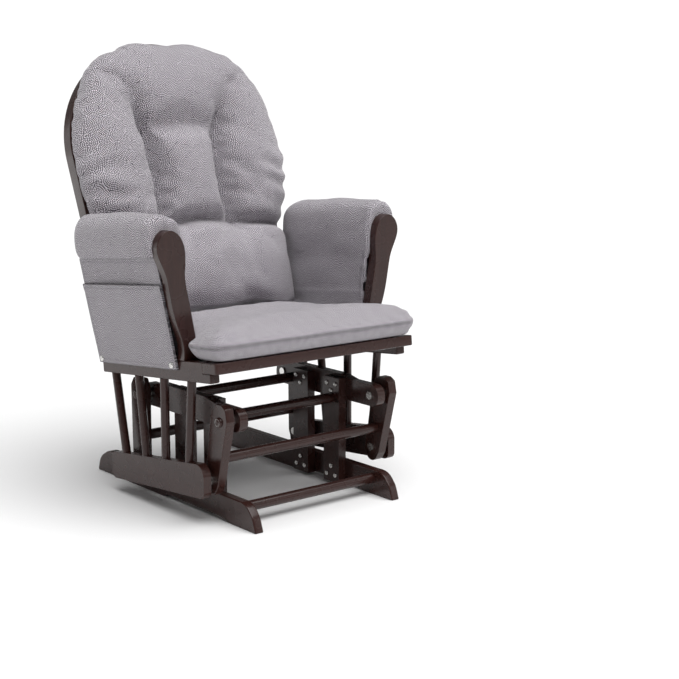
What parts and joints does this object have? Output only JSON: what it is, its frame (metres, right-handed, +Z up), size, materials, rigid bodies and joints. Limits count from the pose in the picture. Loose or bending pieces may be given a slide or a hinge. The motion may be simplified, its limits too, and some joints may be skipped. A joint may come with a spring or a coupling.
{
  "type": "glider nursery chair",
  "caption": "Wooden glider chair: seat frame hung on swing links from a floor base, spindled sides, hoop back, padded arms with fabric side panels, loose seat and back cushions.",
  "frame": {"origin": "on the floor under the middle of the chair's bounding box", "axes": "-Y is the front of the chair, +Z is up, +X points right for someone facing the chair"},
  "size_m": [0.692, 0.751, 1.0503],
  "materials": {
    "dark_wood": "satin",
    "bright_steel": "polished",
    "dotted_fabric": "matte"
  },
  "bodies": {
    "base": {"runner_left": "dark_wood", "runner_right": "dark_wood", "top_rail_left": "dark_wood", "top_rail_right": "dark_wood", "post_front_left": "dark_wood", "post_front_right": "dark_wood", "post_rear_left": "dark_wood", "post_rear_right": "dark_wood", "low_cross_bar": "dark_wood", "front_cross_bar": "dark_wood", "rear_cross_bar": "dark_wood", "post_screws": "bright_steel", "upper_pivot_bolts": "bright_steel", "upper_pivot_spacers": "bright_steel"},
    "front_swing": {"front_link_left": "dark_wood", "front_link_right": "dark_wood", "front_swing_bar": "dark_wood"},
    "rear_swing": {"rear_link_left": "dark_wood", "rear_link_right": "dark_wood", "rear_swing_bar": "dark_wood"},
    "glide_frame": {"glide_rail_left": "dark_wood", "glide_rail_right": "dark_wood", "side_rail_left": "dark_wood", "side_rail_right": "dark_wood", "spindle_left_1": "dark_wood", "spindle_left_2": "dark_wood", "spindle_left_3": "dark_wood", "spindle_left_4": "dark_wood", "spindle_right_1": "dark_wood", "spindle_right_2": "dark_wood", "spindle_right_3": "dark_wood", "spindle_right_4": "dark_wood", "lower_pivot_bolts": "bright_steel", "lower_pivot_spacers": "bright_steel", "front_board": "dark_wood", "rear_rail": "dark_wood", "seat_slat_1": "dark_wood", "seat_slat_2": "dark_wood", "seat_slat_3": "dark_wood", "back_hoop": "dark_wood", "back_rail": "dark_wood", "back_slat_1": "dark_wood", "back_slat_2": "dark_wood", "back_slat_3": "dark_wood", "arm_stile_left": "dark_wood", "arm_stile_right": "dark_wood", "arm_post_left": "dark_wood", "arm_post_right": "dark_wood", "arm_rail_left": "dark_wood", "arm_rail_right": "dark_wood", "arm_pad_left": "dotted_fabric", "arm_pad_right": "dotted_fabric", "arm_outer_skirt_left": "dotted_fabric", "arm_outer_skirt_right": "dotted_fabric", "arm_inner_skirt_left": "dotted_fabric", "arm_inner_skirt_right": "dotted_fabric", "arm_bolts": "bright_steel", "seat_cushion": "dotted_fabric", "back_cushion": "dotted_fabric"}
  },
  "joints": [
    {"name": "rear_swing_pivot", "type": "hinge", "parent": "base", "child": "rear_swing", "pos_m": [0, 0.043, 0.241], "axis": [1, 0, 0], "range_deg": [-16, 16]},
    {"name": "glide_frame_pivot", "type": "hinge", "parent": "rear_swing", "child": "glide_frame", "pos_m": [0, 0.042, 0.081], "axis": [1, 0, 0], "range_deg": [-18.3, 18.3]},
    {"name": "front_swing_pivot", "type": "hinge", "parent": "base", "child": "front_swing", "pos_m": [0, -0.294, 0.237], "axis": [1, 0, 0], "range_deg": [-19.3, 19.3]}
  ],
  "couplings": [
    {"joint": "glide_frame_pivot", "follows": "rear_swing_pivot", "ratio": -1.143},
    {"joint": "front_swing_pivot", "follows": "rear_swing_pivot", "ratio": 1.2011}
  ]
}
